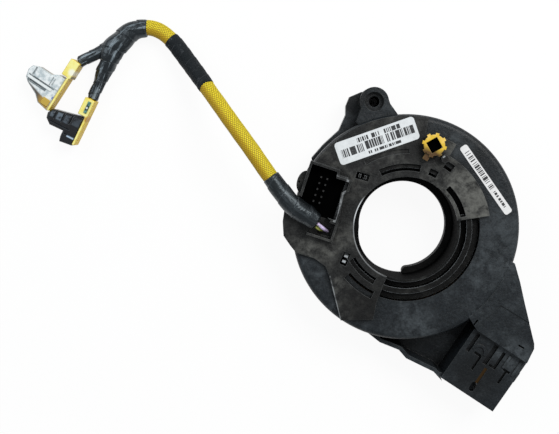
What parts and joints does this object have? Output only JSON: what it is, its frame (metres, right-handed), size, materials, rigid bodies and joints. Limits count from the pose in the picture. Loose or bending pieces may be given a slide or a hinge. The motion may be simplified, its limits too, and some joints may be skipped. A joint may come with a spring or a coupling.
{
  "type": "steering clock spring",
  "caption": "Rotary connector for a steering column: round housing with a turning face, wheel socket, mounting ear, connector box and a harness with airbag plugs.",
  "frame": {"origin": "on the axis of the steering column bore, at the back face on which the part lies", "axes": "+Z along the bore axis, out of the face that turns with the wheel; +X to the right and +Y towards the top of the face, with the ear at the top and the connector box at the lower right"},
  "size_m": [0.2515, 0.1933, 0.0377],
  "materials": {
    "housing_black": "moulded, dusty",
    "rotor_black": "moulded, dusty",
    "inner_plastic": "moulded",
    "sheet_film": "clear satin film",
    "flat_cable": "laminated copper tape",
    "tin_pin": "tinned",
    "copper_contact": "bare copper alloy",
    "label_paper": "printed film with plain bars",
    "lock_yellow": "moulded",
    "spring_steel": "drawn wire",
    "tape_black": "wound tape",
    "braid_yellow": "woven sleeve",
    "lead_insulation": "smooth insulation",
    "plug_yellow": "moulded",
    "plug_grey": "moulded",
    "plug_black": "moulded",
    "latch_amber": "moulded",
    "latch_teal": "moulded"
  },
  "bodies": {
    "stator": {"rear_case": "housing_black", "front_cover": "housing_black", "stator_lead_block": "inner_plastic", "stator_pins": "tin_pin", "contact_bar": "copper_contact", "flat_cable": "flat_cable", "slip_sheet_lower": "sheet_film", "slip_sheet_upper": "sheet_film", "label_narrow": "label_paper"},
    "rotor": {"rotor_plate": "rotor_black", "rotor_drum": "rotor_black", "rotor_rear_ring": "rotor_black", "rotor_lead_block": "inner_plastic", "socket_pins": "tin_pin", "label_large": "label_paper", "outlet_leads": "lead_insulation", "lock_spring": "spring_steel", "harness_boot": "tape_black", "harness_braid_long": "braid_yellow", "harness_tape": "tape_black", "harness_braid_bend": "braid_yellow", "harness_split_tape": "tape_black", "branch_a": "tape_black", "branch_b": "tape_black", "plug_a_cover": "plug_yellow", "plug_a_body": "plug_grey", "plug_a_terminals": "tin_pin", "plug_a_latch": "latch_amber", "plug_b_cover": "plug_yellow", "plug_b_body": "plug_black", "plug_b_terminals": "tin_pin", "plug_b_latch": "latch_teal"},
    "lock": {"lock_button": "lock_yellow"}
  },
  "joints": [
    {"name": "rotor_spin", "type": "hinge", "parent": "stator", "child": "rotor", "pos_m": [0, 0, 0], "axis": [0, 0, 1], "range_deg": [-900, 900]},
    {"name": "lock_press", "type": "slide", "parent": "rotor", "child": "lock", "axis": [0, 0, 1], "range_m": [-0.0015, 0], "stiffness_N_per_m": 400, "deforming": ["lock_spring"]}
  ]
}
